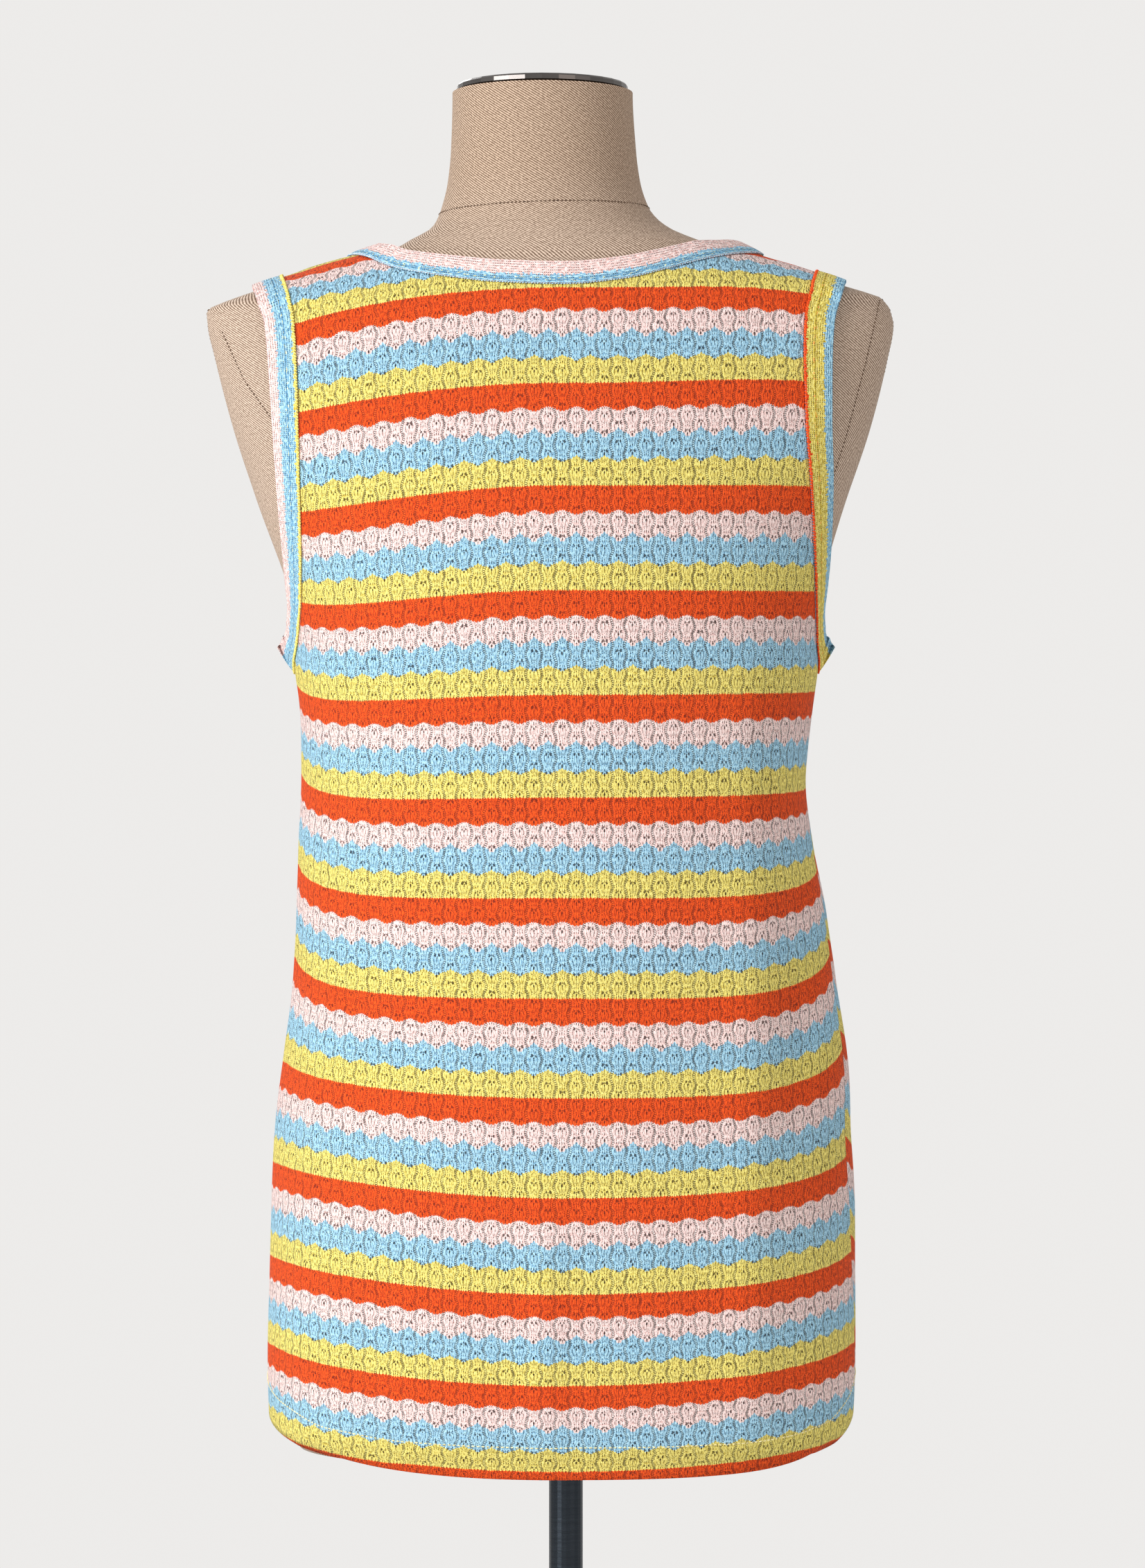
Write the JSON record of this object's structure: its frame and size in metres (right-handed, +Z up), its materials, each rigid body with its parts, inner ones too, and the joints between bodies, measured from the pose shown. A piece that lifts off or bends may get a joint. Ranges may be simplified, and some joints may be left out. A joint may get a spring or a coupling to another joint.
{
  "type": "tank top on a dress form",
  "caption": "Sleeveless striped lace-knit tank top with bound neck and armholes, on a limbless fabric dress form with a pole and a round base.",
  "frame": {"origin": "on the floor, at the middle of the round base's underside, on the pole's axis", "axes": "+Z up along the pole; the garment's back faces -Y and its front faces +Y; +X is to the right of someone who looks at its back"},
  "size_m": [0.42, 0.42, 1.0623],
  "materials": {
    "knit_back": "fine cotton-look pointelle knit in red, pale pink, sky blue and yellow stripes, with small eyelets and ladders",
    "knit_front": "the same striped pointelle knit, cut with its stripes out of step with the back at the right side seam",
    "knit_neckband": "the same knit turned sideways and folded, pale pink at the edge and blue at the seam",
    "knit_band_left": "the same knit turned sideways and folded, pale pink at the edge, blue and yellow at the seam",
    "knit_band_right": "the same knit turned sideways and folded, blue at the edge and yellow at the seam, with a red sewn edge",
    "form_canvas": "close taupe canvas stretched over a stuffed shell, matte",
    "cap_chrome": "dark polished metal",
    "pole_steel": "dark blue-grey painted steel, satin",
    "base_steel": "dark blue-grey painted steel, satin"
  },
  "bodies": {
    "root": {"back_panel": "knit_back", "front_panel": "knit_front", "neckband": "knit_neckband", "armhole_band_left": "knit_band_left", "armhole_band_right": "knit_band_right", "form_body": "form_canvas", "neck_cap": "cap_chrome", "pole_flange": "pole_steel", "pole": "pole_steel", "base_hub": "base_steel", "base_plate": "base_steel"}
  },
  "joints": []
}
